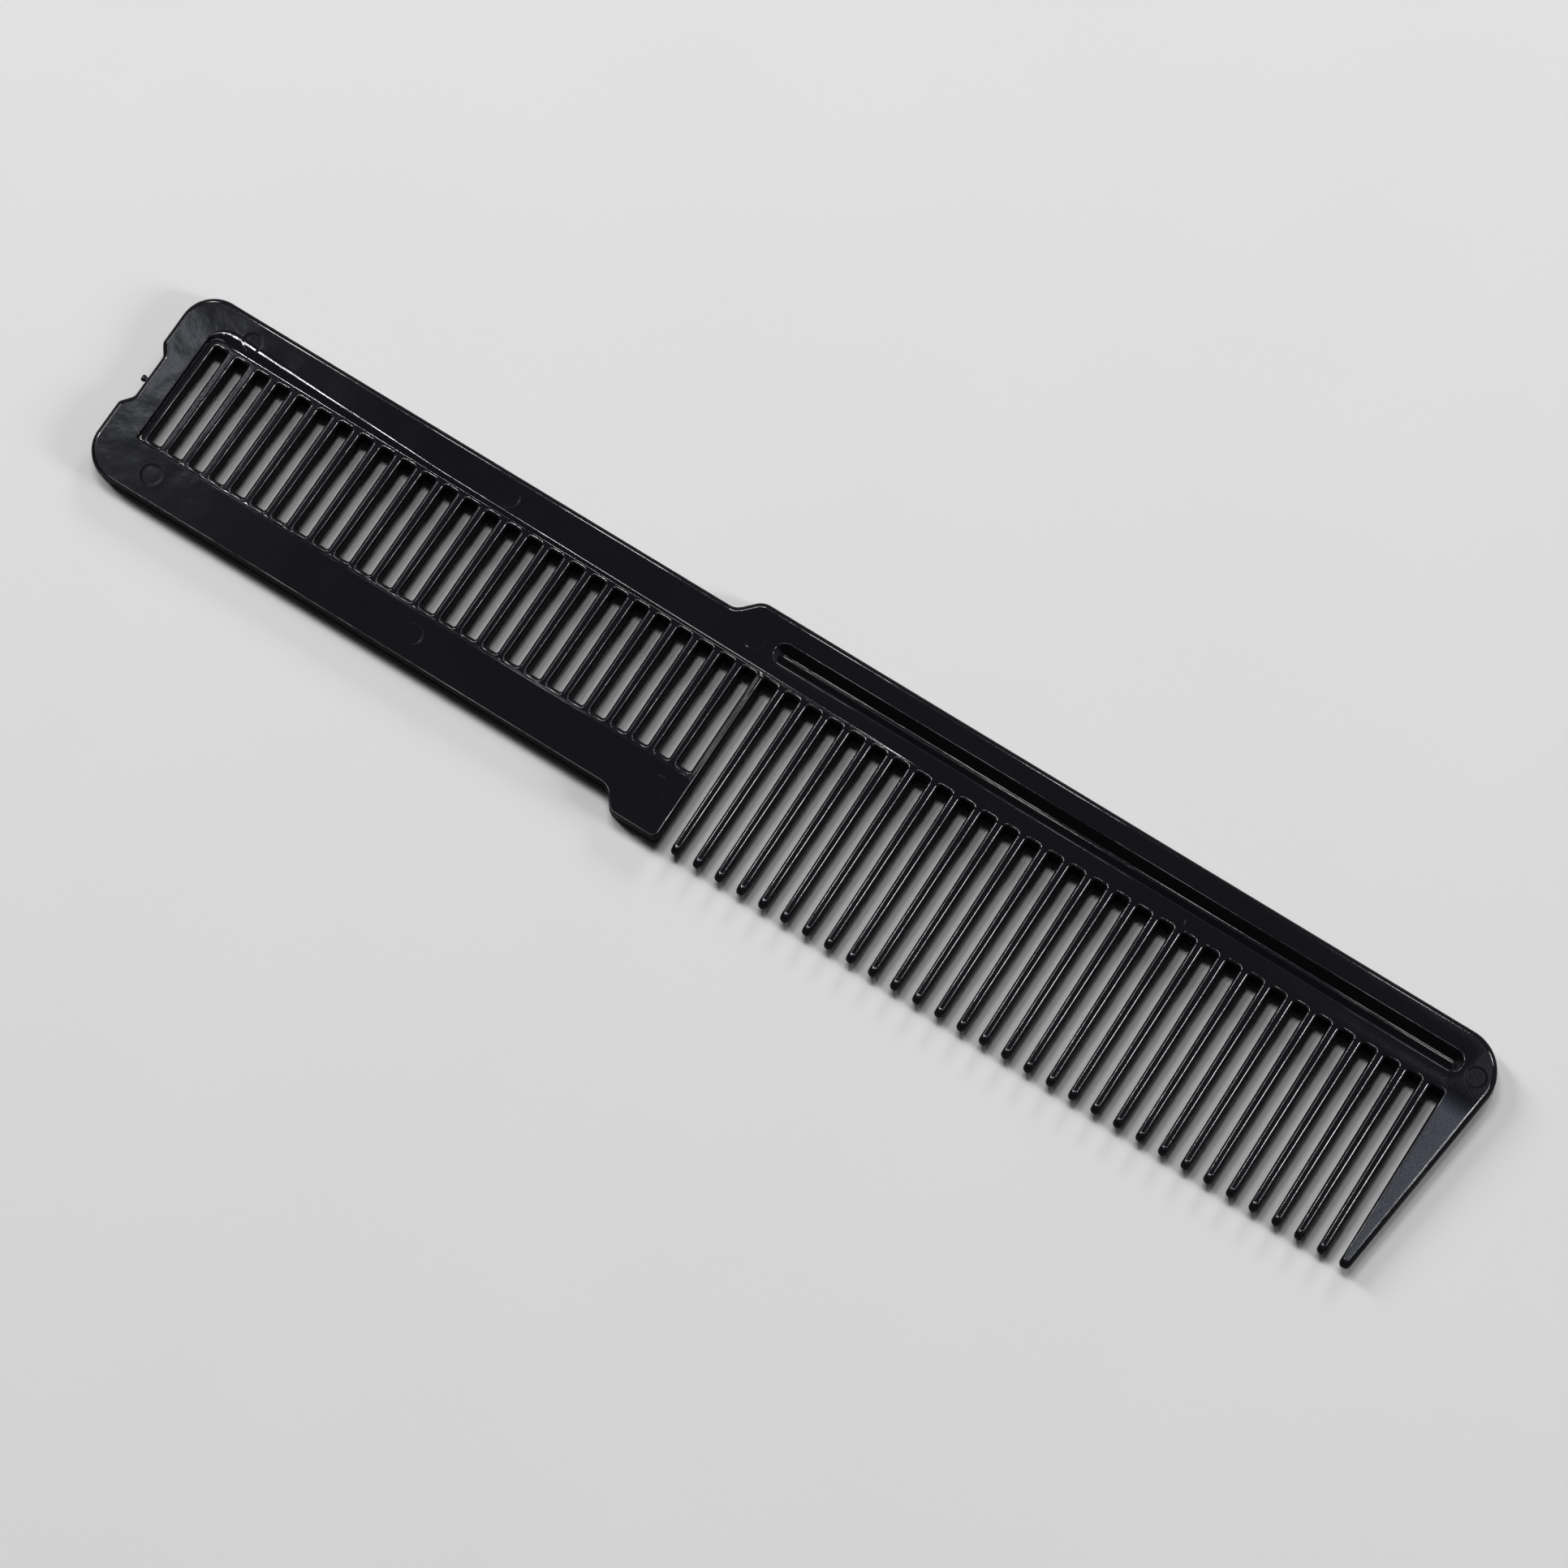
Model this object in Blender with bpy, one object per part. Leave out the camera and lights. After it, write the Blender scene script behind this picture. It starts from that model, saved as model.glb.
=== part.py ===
"""A black moulded clipper comb, one solid piece lying flat on its lower face.

The left half has closed slots between a spine and a lower bar. The right half has free teeth
and ends in a broad guard tooth. X runs along the comb, Y from the tooth tips to the spine, and
Z up through its thickness. The origin is under the middle of the comb, on the resting plane.
"""

import math

import bmesh
import bpy
from mathutils.geometry import delaunay_2d_cdt

MM = 0.001

# Overall size in millimetres
LENGTH = 203.0
WIDTH = 35.4
THICKNESS = 3.0
HALF = THICKNESS / 2

# Teeth: all gaps and teeth share one pitch, from the left end plate to the guard tooth
PITCH = 3.38
ROOT_WIDTH = 1.6
TIP_WIDTH = 1.25
TIP_SHIFT = 0.1
TIP_HALF = 0.9
CLOSED_SLOTS = 26
FREE_TEETH = 30
ROOT_DROP = 9.45
SILL_DROP = 24.85
SLOT_CORNER = 0.25

# Edges of the comb, measured from its outermost lines
LEFT_X = -LENGTH / 2
TOP_Y = WIDTH / 2
TIP_Y = -WIDTH / 2
FIRST_BAR_X = LEFT_X + 8.45
FIRST_SLOT_X = FIRST_BAR_X - (PITCH - ROOT_WIDTH) / 2
ROOT_Y = TOP_Y - ROOT_DROP
SILL_Y = TOP_Y - SILL_DROP
LOW_TOP_Y = TOP_Y - 2.8
BAR_BOTTOM_Y = TOP_Y - 32.5
FOOT_BOTTOM_Y = TIP_Y + 0.15
FOOT_RIGHT_X = FIRST_BAR_X + (CLOSED_SLOTS - 1) * PITCH + 1.4
GUARD_LEFT_X = FIRST_BAR_X + (CLOSED_SLOTS + FREE_TEETH) * PITCH
GUARD_TIP_WIDTH = 1.45
GUARD_LEAN = 4.65
GUARD_CORNER = 5.9

# Steps in the spine and in the lower bar, and the notch in the left end
SPINE_STEP_X = FIRST_BAR_X + 23.25 * PITCH
FOOT_STEP_X = FIRST_BAR_X + 22.9 * PITCH
UPPER_LEFT_X = LEFT_X + 0.2
NOTCH_X = LEFT_X + 1.4
NOTCH_TOP_Y = TOP_Y - 12.6
NOTCH_BOTTOM_Y = TOP_Y - 22.6
NOTCH_RUN = 1.7
NUB_Y = TOP_Y - 17.9
NUB_LENGTH = 0.8
NUB_RADIUS = 0.4

# How far each kind of edge draws in from the middle plane to the faces, in millimetres:
# height as a share of the half thickness, outer rim, lower edges of bar and foot, tooth sides,
# tooth tips, and the ends of gaps and slots
EDGE_PROFILE = [
    {"height": 0.0, "rim": 0.0, "base": 0.0, "side": 0.0, "tip": 0.0, "end": 0.0},
    {"height": 0.7, "rim": 0.12, "base": 0.1, "side": 0.06, "tip": 0.3, "end": 0.15},
    {"height": 1.0, "rim": 0.72, "base": 0.5, "side": 0.4, "tip": 1.2, "end": 0.7},
]

# Shallow recess of the closed half: deepest at the left end plate, running out to the right
FIELD_DEPTH = 0.35
FIELD_LEFT_X = FIRST_BAR_X - 1.11 * PITCH
FIELD_KNEE_X = FIRST_BAR_X + 10 * PITCH
FIELD_END_X = FIRST_BAR_X + 34 * PITCH
FIELD_LEFT_DROP = 5.9
FIELD_KNEE_DROP = 7.7
FIELD_END_DROP = 8.45
FIELD_BOTTOM_Y = SILL_Y - 1.1
FIELD_CORNER = 3.6

# Blind V groove in the wide half of the spine
GROOVE_LEFT_X = FIRST_BAR_X + 25.1 * PITCH
GROOVE_RIGHT_X = FIRST_BAR_X + 56.1 * PITCH
GROOVE_Y = TOP_Y - 4.9
GROOVE_HALF_WIDTH = 1.48
GROOVE_FLOOR_HALF_WIDTH = 0.23
GROOVE_DEPTH = 1.0

# Round marks of the ejector pins on the upper face: pitches from the first bar,
# distance below the top edge, and diameter
EJECTOR_MARKS = [
    {"pitches": 0.43, "drop": 29.0, "diameter": 3.2},
    {"pitches": 12.8, "drop": 28.9, "diameter": 3.3},
    {"pitches": 24.2, "drop": 29.2, "diameter": 3.5},
    {"pitches": 24.2, "drop": 5.1, "diameter": 3.4},
    {"pitches": 56.7, "drop": 5.1, "diameter": 2.9},
    {"pitches": 35.6, "drop": 7.6, "diameter": 1.8},
    {"pitches": 44.5, "drop": 7.6, "diameter": 1.8},
]
MARK_DEPTH = 0.08
MARK_STEPS = 14


def clear_scene():
    """Start from an empty scene."""
    for item in list(bpy.data.objects):
        bpy.data.objects.remove(item, do_unlink=True)


def corner(x, y, radius, kind, steps=2):
    """One rounded corner of a loop, with the kind of the edge that leaves it."""
    return {"x": x, "y": y, "radius": radius, "kind": kind, "steps": steps}


def unit(x, y):
    size = math.hypot(x, y)
    return x / size, y / size


def drawn_in(corners, insets):
    """The same loop with each edge moved to its left by the inset of its kind."""
    count = len(corners)
    moved = []
    for i, here in enumerate(corners):
        before = corners[i - 1]
        after = corners[(i + 1) % count]
        ax, ay = unit(here["x"] - before["x"], here["y"] - before["y"])
        bx, by = unit(after["x"] - here["x"], after["y"] - here["y"])
        inset_a = insets[before["kind"]]
        inset_b = insets[here["kind"]]
        turn = ax * by - ay * bx
        # where the two moved edges cross
        x = here["x"] + (bx * inset_a - ax * inset_b) / turn
        y = here["y"] + (by * inset_a - ay * inset_b) / turn
        change = min(inset_a, inset_b)
        radius = here["radius"] - change if turn > 0 else here["radius"] + change
        moved.append(corner(x, y, max(radius, 0.05), here["kind"], here["steps"]))
    return moved


def rounded(corners, closed=True):
    """Points of a loop or line whose corners are arcs."""
    points = []
    count = len(corners)
    for i, here in enumerate(corners):
        at_end = not closed and i in (0, count - 1)
        if at_end or here["radius"] == 0:
            points.append((here["x"], here["y"]))
            continue
        before = corners[i - 1]
        after = corners[(i + 1) % count]
        ax, ay = unit(here["x"] - before["x"], here["y"] - before["y"])
        bx, by = unit(after["x"] - here["x"], after["y"] - here["y"])
        turn = math.atan2(ax * by - ay * bx, ax * bx + ay * by)
        reach = here["radius"] * math.tan(abs(turn) / 2)
        side = math.copysign(here["radius"], turn)
        centre_x = here["x"] - ax * reach - ay * side
        centre_y = here["y"] - ay * reach + ax * side
        start = math.atan2(-ax * side, ay * side)
        for step in range(here["steps"] + 1):
            angle = start + turn * step / here["steps"]
            points.append((centre_x + here["radius"] * math.cos(angle),
                           centre_y + here["radius"] * math.sin(angle)))
    return points


def tooth_sides(number, y):
    """Left and right side of one tooth or bar: all of them narrow towards the tips."""
    share = (ROOT_Y - y) / (ROOT_Y - TIP_Y)
    left_x = FIRST_BAR_X + number * PITCH + TIP_SHIFT * share
    return left_x, left_x + ROOT_WIDTH + (TIP_WIDTH - ROOT_WIDTH) * share


def free_tooth(number):
    """Corners of one gap end and the free tooth to its right, going left to right."""
    root_left, root_right = tooth_sides(number, ROOT_Y)
    tip_left, tip_right = tooth_sides(number, TIP_Y)
    tip_radius = 0.46 * TIP_WIDTH
    return [
        corner(root_left, ROOT_Y, SLOT_CORNER, "side"),
        corner(tip_left, TIP_Y, tip_radius, "tip"),
        corner(tip_right, TIP_Y, tip_radius, "side"),
        corner(root_right, ROOT_Y, SLOT_CORNER, "end"),
    ]


def outline():
    """The outer outline in the middle plane, counter-clockwise from the guard tooth's tip."""
    guard_tip_x = GUARD_LEFT_X + GUARD_TIP_WIDTH
    corners = [
        corner(guard_tip_x, TIP_Y, 0.7, "rim"),
        corner(guard_tip_x + GUARD_LEAN, TOP_Y, GUARD_CORNER, "rim", 8),
        corner(SPINE_STEP_X + 1.4, TOP_Y, 2.6, "rim", 3),
        corner(SPINE_STEP_X - 1.3, LOW_TOP_Y, 2.0, "rim", 3),
        corner(UPPER_LEFT_X, LOW_TOP_Y, 4.9, "rim", 6),
        corner(UPPER_LEFT_X, NOTCH_TOP_Y, 1.0, "rim"),
        corner(NOTCH_X, NOTCH_TOP_Y - NOTCH_RUN, 1.0, "rim"),
        corner(NOTCH_X, NOTCH_BOTTOM_Y + NOTCH_RUN, 1.0, "rim"),
        corner(LEFT_X, NOTCH_BOTTOM_Y, 1.0, "rim"),
        corner(LEFT_X, BAR_BOTTOM_Y, 4.9, "base", 6),
        corner(FOOT_STEP_X - 1.0, BAR_BOTTOM_Y, 2.0, "base", 3),
        corner(FOOT_STEP_X + 1.2, FOOT_BOTTOM_Y, 1.3, "base", 3),
        corner(FOOT_RIGHT_X, FOOT_BOTTOM_Y, 0.8, "rim"),
        corner(FOOT_RIGHT_X, ROOT_Y, SLOT_CORNER, "end"),
    ]
    for number in range(CLOSED_SLOTS, CLOSED_SLOTS + FREE_TEETH):
        corners += free_tooth(number)
    corners += [
        corner(GUARD_LEFT_X, ROOT_Y, SLOT_CORNER, "side"),
        corner(GUARD_LEFT_X, TIP_Y, 0.7, "tip"),
    ]
    return corners


def closed_slot(number):
    """One closed slot in the middle plane, clockwise, so that the comb is on its left."""
    _, root_left = tooth_sides(number - 1, ROOT_Y)
    _, sill_left = tooth_sides(number - 1, SILL_Y)
    root_right, _ = tooth_sides(number, ROOT_Y)
    sill_right, _ = tooth_sides(number, SILL_Y)
    return [
        corner(sill_left, SILL_Y, SLOT_CORNER, "side"),
        corner(root_left, ROOT_Y, SLOT_CORNER, "end"),
        corner(root_right, ROOT_Y, SLOT_CORNER, "side"),
        corner(sill_right, SILL_Y, SLOT_CORNER, "end"),
    ]


def field_depth(x):
    """Depth of the recessed tooth field at one place along the comb."""
    share = (FIELD_END_X - x) / (FIELD_END_X - FIRST_BAR_X)
    return FIELD_DEPTH * min(max(share, 0.0), 1.0)


def outline_half(x, y):
    """Half thickness at a point of the outline: free teeth thin towards their tips."""
    if x < FOOT_RIGHT_X + 0.05 or y > ROOT_Y + 1.0:
        return HALF
    root_half = HALF - field_depth(x)
    share = (ROOT_Y + 1.0 - y) / (ROOT_Y + 1.0 - TIP_Y)
    return root_half + (TIP_HALF - root_half) * share


def slot_half(x, y):
    """Half thickness at a point of a closed slot."""
    return HALF - field_depth(x)


def levels(corners, half_at):
    """Loops of one edge from the middle plane up to the face."""
    loops = []
    for row in EDGE_PROFILE:
        points = rounded(drawn_in(corners, row))
        loops.append([(x, y, row["height"] * half_at(x, y)) for x, y in points])
    return loops


def ring(centre_x, centre_y, radius, z):
    """A circle of points for an ejector mark."""
    points = []
    for step in range(MARK_STEPS):
        angle = math.tau * step / MARK_STEPS
        points.append((centre_x + radius * math.cos(angle),
                       centre_y + radius * math.sin(angle), z))
    return points


def capsule(left_x, right_x, centre_y, radius, z):
    """A round-ended band along the spine."""
    corners = [
        corner(left_x, centre_y - radius, 0.98 * radius, "rim", 4),
        corner(right_x, centre_y - radius, 0.98 * radius, "rim", 4),
        corner(right_x, centre_y + radius, 0.98 * radius, "rim", 4),
        corner(left_x, centre_y + radius, 0.98 * radius, "rim", 4),
    ]
    return [(x, y, z) for x, y in rounded(corners)]


def relief_loops(with_marks):
    """Closed lines on a face: the groove's lip and floor, and the ejector marks."""
    slope = GROOVE_HALF_WIDTH - GROOVE_FLOOR_HALF_WIDTH
    loops = [
        capsule(GROOVE_LEFT_X, GROOVE_RIGHT_X, GROOVE_Y, GROOVE_HALF_WIDTH, HALF),
        capsule(GROOVE_LEFT_X + slope, GROOVE_RIGHT_X - slope, GROOVE_Y,
                GROOVE_FLOOR_HALF_WIDTH, HALF - GROOVE_DEPTH),
    ]
    if with_marks:
        for mark in EJECTOR_MARKS:
            x = FIRST_BAR_X + mark["pitches"] * PITCH
            y = TOP_Y - mark["drop"]
            radius = mark["diameter"] / 2
            loops.append(ring(x, y, radius, HALF))
            loops.append(ring(x, y, radius - 2 * MARK_DEPTH, HALF - MARK_DEPTH))
    return loops


def field_lines():
    """Open lines where the flat rim turns down into the recessed tooth field."""
    upper = [
        corner(FIELD_LEFT_X, FIELD_BOTTOM_Y, 0, "rim"),
        corner(FIELD_LEFT_X, TOP_Y - FIELD_LEFT_DROP, FIELD_CORNER, "rim", 5),
        corner(FIELD_KNEE_X, TOP_Y - FIELD_KNEE_DROP, 0, "rim"),
        corner(FIELD_END_X, TOP_Y - FIELD_END_DROP, 0, "rim"),
    ]
    lower = [
        corner(FIELD_LEFT_X, FIELD_BOTTOM_Y, 0, "rim"),
        corner(FOOT_RIGHT_X - 1.6, FIELD_BOTTOM_Y, 0, "rim"),
    ]
    return [[(x, y, HALF) for x, y in rounded(line, closed=False)] for line in (upper, lower)]


def inside(loop, x, y):
    """Whether a point lies inside a loop, by counting the edges to its right."""
    crossings = 0
    for i, (bx, by, _) in enumerate(loop):
        ax, ay, _ = loop[i - 1]
        if (ay > y) != (by > y) and x < ax + (y - ay) * (bx - ax) / (by - ay):
            crossings += 1
    return crossings % 2 == 1


def face_triangles(outer, slots, loops, lines):
    """Corner points of the triangles that fill one face around the slots."""
    points = []
    edges = []
    for loop in [outer] + slots + loops:
        start = len(points)
        points += loop
        edges += [(start + i, start + (i + 1) % len(loop)) for i in range(len(loop))]
    for line in lines:
        start = len(points)
        points += line
        edges += [(start + i, start + i + 1) for i in range(len(line) - 1)]
    flat = [(x, y) for x, y, _ in points]
    places, _, faces, sources, _, _ = delaunay_2d_cdt(flat, edges, [], 1, 1e-4)
    triangles = []
    for face in faces:
        x = sum(places[i][0] for i in face) / len(face)
        y = sum(places[i][1] for i in face) / len(face)
        number = round((x - FIRST_SLOT_X) / PITCH)
        if 0 <= number < len(slots) and inside(slots[number], x, y):
            continue
        triangles.append([points[sources[i][0]] for i in face])
    return triangles


def add_band(mesh, lower, upper):
    """Wall faces between two loops with the same number of points."""
    count = len(lower)
    low = [mesh.verts.new(point) for point in lower]
    high = [mesh.verts.new(point) for point in upper]
    for i in range(count):
        j = (i + 1) % count
        mesh.faces.new((low[i], low[j], high[j], high[i]))


def mirrored(points):
    """The same points on the other side of the middle plane."""
    return [(x, y, -z) for x, y, z in points]


def comb_mesh():
    """The comb as one closed body: walls from face to face, and the two faces."""
    edge_loops = [levels(outline(), outline_half)]
    edge_loops += [levels(closed_slot(number), slot_half) for number in range(CLOSED_SLOTS)]
    mesh = bmesh.new()
    for loops in edge_loops:
        for lower, upper in zip(loops, loops[1:]):
            add_band(mesh, lower, upper)
            add_band(mesh, mirrored(upper), mirrored(lower))
    outer = edge_loops[0][-1]
    slots = [loops[-1] for loops in edge_loops[1:]]
    for triangle in face_triangles(outer, slots, relief_loops(True), field_lines()):
        mesh.faces.new([mesh.verts.new(point) for point in triangle])
    for triangle in face_triangles(outer, slots, relief_loops(False), field_lines()):
        mesh.faces.new([mesh.verts.new(point) for point in reversed(mirrored(triangle))])
    bmesh.ops.remove_doubles(mesh, verts=mesh.verts, dist=0.001)
    for vertex in mesh.verts:
        vertex.co.z += HALF
        vertex.co *= MM
    return mesh


def black_plastic():
    """Gloss black moulded plastic."""
    material = bpy.data.materials.new("gloss_black_plastic")
    material.use_nodes = True
    shader = material.node_tree.nodes["Principled BSDF"]
    shader.inputs["Base Color"].default_value = (0.012, 0.012, 0.014, 1.0)
    shader.inputs["Roughness"].default_value = 0.22
    shader.inputs["Metallic"].default_value = 0.0
    return material


def make_comb():
    """The moulded comb without its gate nub."""
    mesh = comb_mesh()
    data = bpy.data.meshes.new("comb")
    mesh.to_mesh(data)
    mesh.free()
    data.shade_smooth()
    data.set_sharp_from_angle(angle=math.radians(32))
    data.materials.append(black_plastic())
    comb = bpy.data.objects.new("comb", data)
    bpy.context.collection.objects.link(comb)
    return comb


def join_gate_nub(comb):
    """A short stub on the floor of the notch, joined to the comb."""
    overlap = 0.6
    mesh = bmesh.new()
    bmesh.ops.create_cone(mesh, cap_ends=True, segments=10, radius1=NUB_RADIUS * MM,
                          radius2=NUB_RADIUS * 0.8 * MM, depth=(NUB_LENGTH + overlap) * MM)
    data = bpy.data.meshes.new("gate_nub")
    mesh.to_mesh(data)
    mesh.free()
    nub = bpy.data.objects.new("gate_nub", data)
    nub.rotation_euler = (0, -math.pi / 2, 0)
    nub.location = ((NOTCH_X + (overlap - NUB_LENGTH) / 2) * MM, NUB_Y * MM, HALF * MM)
    nub.hide_render = True
    nub.display_type = "WIRE"
    bpy.context.collection.objects.link(nub)
    joint = comb.modifiers.new("gate nub", "BOOLEAN")
    joint.operation = "UNION"
    joint.object = nub


clear_scene()
join_gate_nub(make_comb())
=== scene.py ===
# %% [markdown]
# # A black clipper comb
#
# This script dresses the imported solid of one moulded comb. The real comb is a single shot of
# black ABS, about 203 mm long, that lies flat on a pale table. Half of its slots are closed by
# a lower bar, the other half ends in free teeth, and a broad wedge of a tooth closes the row.
#
# A comb is all edges. What the eye reads are thin highlights on the rounded lips of the teeth,
# so the plan is: build the same outlines as the solid, but with properly rounded edges and a
# smooth recess, then give them one careful gloss plastic and a soft studio.

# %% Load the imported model
import math

import bmesh
import bpy
from mathutils import Matrix, Vector
from mathutils.geometry import delaunay_2d_cdt


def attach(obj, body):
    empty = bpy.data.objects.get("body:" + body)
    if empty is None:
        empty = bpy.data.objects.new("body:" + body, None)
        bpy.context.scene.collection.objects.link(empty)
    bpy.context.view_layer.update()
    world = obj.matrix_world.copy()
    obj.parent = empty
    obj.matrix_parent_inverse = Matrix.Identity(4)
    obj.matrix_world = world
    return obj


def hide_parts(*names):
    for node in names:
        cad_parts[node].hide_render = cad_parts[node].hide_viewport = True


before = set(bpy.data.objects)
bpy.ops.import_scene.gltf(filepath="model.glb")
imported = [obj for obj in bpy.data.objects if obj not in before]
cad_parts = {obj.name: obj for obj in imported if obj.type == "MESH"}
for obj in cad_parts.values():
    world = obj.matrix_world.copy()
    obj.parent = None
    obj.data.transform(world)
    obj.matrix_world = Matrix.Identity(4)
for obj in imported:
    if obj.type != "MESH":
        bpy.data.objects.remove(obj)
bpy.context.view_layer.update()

MM = 0.001

# %% [markdown]
# ## The comb's main sizes
#
# Everything is written in millimetres in the solid's own frame: X along the comb, Y from the
# tooth tips to the spine, Z up. All teeth share one pitch, so a tooth's place is a number
# times the pitch. That is how a mould maker would draw it too, and it keeps lists short.

# %% Main sizes
LENGTH = 203.0
WIDTH = 35.4
THICKNESS = 3.0
HALF = THICKNESS / 2
LEFT_X = -LENGTH / 2
TOP_Y = WIDTH / 2
TIP_Y = -WIDTH / 2

PITCH = 3.38
ROOT_WIDTH = 1.6
TIP_WIDTH = 1.25
TIP_SHIFT = 0.1
TIP_HALF = 0.9
CLOSED_SLOTS = 26
FREE_TEETH = 30
ROOT_Y = TOP_Y - 9.45
SILL_Y = TOP_Y - 24.85
FIRST_BAR_X = LEFT_X + 8.45
FIRST_SLOT_X = FIRST_BAR_X - (PITCH - ROOT_WIDTH) / 2
FOOT_RIGHT_X = FIRST_BAR_X + (CLOSED_SLOTS - 1) * PITCH + 1.4
GUARD_LEFT_X = FIRST_BAR_X + (CLOSED_SLOTS + FREE_TEETH) * PITCH
print("teeth from", round(FIRST_BAR_X, 2), "to", round(GUARD_LEFT_X, 2), "mm")

# %% [markdown]
# ## Loops with rounded corners
#
# The outline is one closed loop of corners, each with its own radius. Blender could bevel a
# finished mesh, but a bevel on so many thin teeth clashes with itself. Here each loop is
# drawn again a little further in for every level of the edge, so the rounding is exact and
# its faces are tidy bands.

# %% Corners, arcs and loops that draw in
RUN_STEP = 4.0
SMALLEST_RADIUS = 0.04


def corner(x, y, radius, kind, steps=4):
    """One rounded corner of a loop, with the kind of the edge that leaves it."""
    return {"x": x, "y": y, "radius": radius, "kind": kind, "steps": steps, "runs": 1}


def with_runs(corners):
    """Note how many short runs each straight edge is cut into."""
    for i, here in enumerate(corners):
        after = corners[(i + 1) % len(corners)]
        length = math.hypot(after["x"] - here["x"], after["y"] - here["y"])
        here["runs"] = max(1, round(length / RUN_STEP))
    return corners


def unit(x, y):
    """The direction of a step, one unit long."""
    size = math.hypot(x, y)
    return x / size, y / size


def drawn_in(corners, insets):
    """The same loop with each edge moved to its left by the inset of its kind."""
    moved = []
    for i, here in enumerate(corners):
        before = corners[i - 1]
        after = corners[(i + 1) % len(corners)]
        ax, ay = unit(here["x"] - before["x"], here["y"] - before["y"])
        bx, by = unit(after["x"] - here["x"], after["y"] - here["y"])
        inset_a = insets[before["kind"]]
        inset_b = insets[here["kind"]]
        turn = ax * by - ay * bx
        change = min(inset_a, inset_b)
        moved.append(dict(
            here,
            x=here["x"] + (bx * inset_a - ax * inset_b) / turn,
            y=here["y"] + (by * inset_a - ay * inset_b) / turn,
            radius=max(here["radius"] - math.copysign(change, turn), SMALLEST_RADIUS),
        ))
    return moved


def arc(here, before, after):
    """Points of one rounded corner."""
    ax, ay = unit(here["x"] - before["x"], here["y"] - before["y"])
    bx, by = unit(after["x"] - here["x"], after["y"] - here["y"])
    turn = math.atan2(ax * by - ay * bx, ax * bx + ay * by)
    reach = here["radius"] * math.tan(abs(turn) / 2)
    side = math.copysign(here["radius"], turn)
    centre_x = here["x"] - ax * reach - ay * side
    centre_y = here["y"] - ay * reach + ax * side
    start = math.atan2(-ax * side, ay * side)
    angles = [start + turn * step / here["steps"] for step in range(here["steps"] + 1)]
    return [(centre_x + here["radius"] * math.cos(angle),
             centre_y + here["radius"] * math.sin(angle)) for angle in angles]


def rounded(corners):
    """Points of a closed loop: an arc at each corner, then short runs to the next one."""
    count = len(corners)
    arcs = [arc(here, corners[i - 1], corners[(i + 1) % count])
            for i, here in enumerate(corners)]
    points = []
    for i, here in enumerate(corners):
        points += arcs[i]
        x0, y0 = arcs[i][-1]
        x1, y1 = arcs[(i + 1) % count][0]
        for step in range(1, here["runs"]):
            share = step / here["runs"]
            points.append((x0 + (x1 - x0) * share, y0 + (y1 - y0) * share))
    return points


print("a straight tooth side is cut into", round((ROOT_Y - TIP_Y) / RUN_STEP), "runs")

# %% [markdown]
# ## The outline and the closed slots
#
# The outer loop runs counter-clockwise: up the guard tooth, along the spine to the left, down
# past the notch, along the lower bar to the foot, and then in and out around every free
# tooth. The closed slots are loops of their own that run the other way round, so the plastic
# is always on the left of a loop and one rule for drawing in serves both.

# %% Outline and slots
LOW_TOP_Y = TOP_Y - 2.8
BAR_BOTTOM_Y = TOP_Y - 32.5
FOOT_BOTTOM_Y = TIP_Y + 0.15
GUARD_TIP_WIDTH = 1.45
GUARD_LEAN = 4.65
GUARD_CORNER = 5.9
SPINE_STEP_TOP_X = FIRST_BAR_X + 23.25 * PITCH + 1.4
SPINE_STEP_LOW_X = SPINE_STEP_TOP_X - 2.7
FOOT_STEP_TOP_X = FIRST_BAR_X + 22.9 * PITCH - 1.0
FOOT_STEP_LOW_X = FOOT_STEP_TOP_X + 2.2
UPPER_LEFT_X = LEFT_X + 0.2
NOTCH_X = LEFT_X + 1.4
NOTCH_TOP_Y = TOP_Y - 12.6
NOTCH_BOTTOM_Y = TOP_Y - 22.6
NOTCH_RUN = 1.7
NOTCH_CORNER = 1.0
END_CORNER = 4.9
SLOT_CORNER = 0.25
TIP_ROUNDNESS = 0.48


def tooth_sides(number, y):
    """Left and right side of one tooth or bar: all of them narrow towards the tips."""
    share = (ROOT_Y - y) / (ROOT_Y - TIP_Y)
    left_x = FIRST_BAR_X + number * PITCH + TIP_SHIFT * share
    return left_x, left_x + ROOT_WIDTH + (TIP_WIDTH - ROOT_WIDTH) * share


def free_tooth(number):
    """Corners of one gap end and the free tooth to its right, going left to right."""
    root_left, root_right = tooth_sides(number, ROOT_Y)
    tip_left, tip_right = tooth_sides(number, TIP_Y)
    tip_radius = TIP_ROUNDNESS * TIP_WIDTH
    return [
        corner(root_left, ROOT_Y, SLOT_CORNER, "side"),
        corner(tip_left, TIP_Y, tip_radius, "tip", 6),
        corner(tip_right, TIP_Y, tip_radius, "side", 6),
        corner(root_right, ROOT_Y, SLOT_CORNER, "end"),
    ]


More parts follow.
